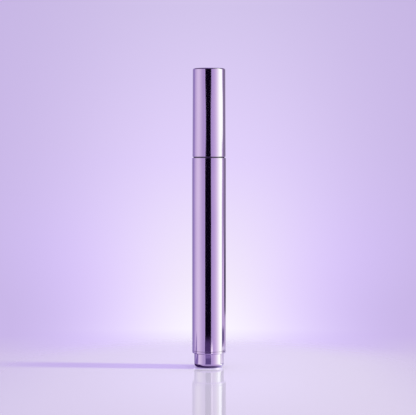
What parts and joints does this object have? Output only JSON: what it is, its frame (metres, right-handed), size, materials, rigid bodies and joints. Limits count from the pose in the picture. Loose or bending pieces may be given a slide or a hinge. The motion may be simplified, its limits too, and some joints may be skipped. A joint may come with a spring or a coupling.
{
  "type": "cuticle oil pen",
  "caption": "Slim click-feed cuticle oil pen: pull-off cap over a brush tip, screw-driven piston reservoir in a metal barrel, and a push button at the tail.",
  "frame": {"origin": "centre of the push button's flat face, on which the pen stands", "axes": "+Z along the pen's axis from the button to the cap; +X and +Y are arbitrary across it, with a guide key of the push cam towards +X"},
  "size_m": [0.015, 0.015, 0.133],
  "materials": {
    "violet_metal": "bright anodised and polished, pale violet",
    "liner_plastic": "natural polypropylene, satin",
    "clear_plastic": "translucent polypropylene, glossy",
    "neck_plastic": "moulded polypropylene, deep violet, nearly black",
    "gear_plastic": "acetal, satin",
    "housing_plastic": "moulded ABS, satin",
    "seal_rubber": "soft nitrile",
    "bare_steel": "drawn stainless",
    "brush_fibre": "tapered nylon hair"
  },
  "bodies": {
    "barrel": {"barrel_shell": "violet_metal", "tail_ring": "violet_metal", "reservoir_tube": "clear_plastic", "neck_collar": "neck_plastic", "neck_o_ring": "seal_rubber", "nozzle": "clear_plastic", "brush_ferrule": "bare_steel", "feed_pipe": "bare_steel", "brush_hair": "brush_fibre", "screw_nut": "gear_plastic", "ratchet_housing": "housing_plastic"},
    "cap": {"cap_shell": "violet_metal", "cap_liner": "liner_plastic", "cap_seal_ring": "seal_rubber"},
    "button": {"button_shell": "violet_metal", "push_cam": "gear_plastic"},
    "drive": {"drive_sleeve": "gear_plastic", "return_spring": "bare_steel"},
    "screw": {"lead_screw": "gear_plastic"},
    "piston": {"piston": "liner_plastic"},
    "cam": {"ratchet_cam": "gear_plastic"}
  },
  "joints": [
    {"name": "cap_pull", "type": "slide", "parent": "barrel", "child": "cap", "axis": [0, 0, 1], "range_m": [0, 0.045]},
    {"name": "button_press", "type": "slide", "parent": "barrel", "child": "button", "axis": [0, 0, 1], "range_m": [0, 0.0022], "stiffness_N_per_m": 800, "springref_m": -0.004, "deforming": ["return_spring"]},
    {"name": "cam_turn", "type": "hinge", "parent": "barrel", "child": "drive", "pos_m": [0, 0, 0], "axis": [0, 0, 1], "range_deg": [0, 6120]},
    {"name": "screw_feed", "type": "slide", "parent": "drive", "child": "screw", "axis": [0, 0, 1], "range_m": [0, 0.034]},
    {"name": "piston_feed", "type": "slide", "parent": "barrel", "child": "piston", "axis": [0, 0, 1], "range_m": [0, 0.034]},
    {"name": "cam_lift", "type": "slide", "parent": "drive", "child": "cam", "axis": [0, 0, 1], "range_m": [0, 0.0022]}
  ],
  "couplings": [
    {"joint": "screw_feed", "follows": "piston_feed", "ratio": 1},
    {"joint": "cam_turn", "follows": "piston_feed", "rad_per_m": 3141.6},
    {"joint": "cam_lift", "follows": "button_press", "ratio": 1}
  ]
}
